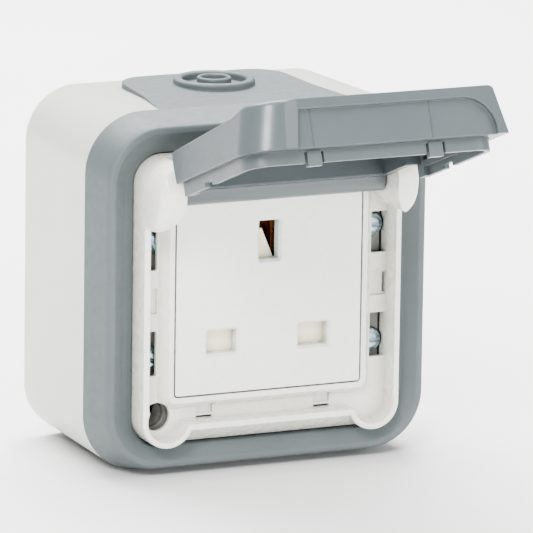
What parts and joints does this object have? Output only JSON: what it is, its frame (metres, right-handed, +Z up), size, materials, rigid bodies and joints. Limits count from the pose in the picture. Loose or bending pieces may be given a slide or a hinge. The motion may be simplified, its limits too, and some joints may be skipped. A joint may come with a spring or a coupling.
{
  "type": "weatherproof socket",
  "caption": "Surface-mounted outdoor socket box with a soft surround, a hinged cover open over a rectangular-pin outlet, and a cable grommet on top.",
  "frame": {"origin": "on the wall plane, behind the centre of the pin outlet module", "axes": "+X to the right seen from the front, +Y into the wall, +Z up; the outlet faces -Y"},
  "size_m": [0.081, 0.1033, 0.0941],
  "materials": {
    "box_white": "satin",
    "surround_grey": "matt",
    "frame_white": "satin",
    "face_white": "satin",
    "lid_grey": "satin",
    "liner_grey": "satin",
    "seal_dark": "matt",
    "seal_grey": "matt",
    "plate_grey": "matt",
    "zinc": "plated",
    "base_grey": "matt",
    "contact_brass": "satin",
    "shutter_cream": "satin",
    "spring_steel": "bright"
  },
  "bodies": {
    "root": {"wall_box": "box_white", "surround": "surround_grey", "holder_frame": "frame_white", "frame_seal": "seal_dark", "mounting_plate": "plate_grey", "plate_screws": "zinc", "socket_face": "face_white", "socket_base": "base_grey", "base_screws": "zinc", "live_contact": "contact_brass", "neutral_contact": "contact_brass", "earth_contact": "contact_brass", "terminal_screws": "zinc", "shutter_spring": "spring_steel", "hinge_pin_left": "zinc", "hinge_pin_right": "zinc"},
    "lid": {"lid_cover": "lid_grey", "lid_liner": "liner_grey", "lid_seal": "seal_grey"},
    "shutter": {"shutter": "shutter_cream"}
  },
  "joints": [
    {"name": "lid_hinge", "type": "hinge", "parent": "root", "child": "lid", "pos_m": [0, -0.0505, 0.0245], "axis": [1, 0, 0], "range_deg": [0, 110.8]},
    {"name": "shutter_slide", "type": "slide", "parent": "root", "child": "shutter", "axis": [0, 0, -1], "range_m": [0, 0.0065], "stiffness_N_per_m": 60, "springref_m": -0.002, "deforming": ["shutter_spring"]}
  ]
}
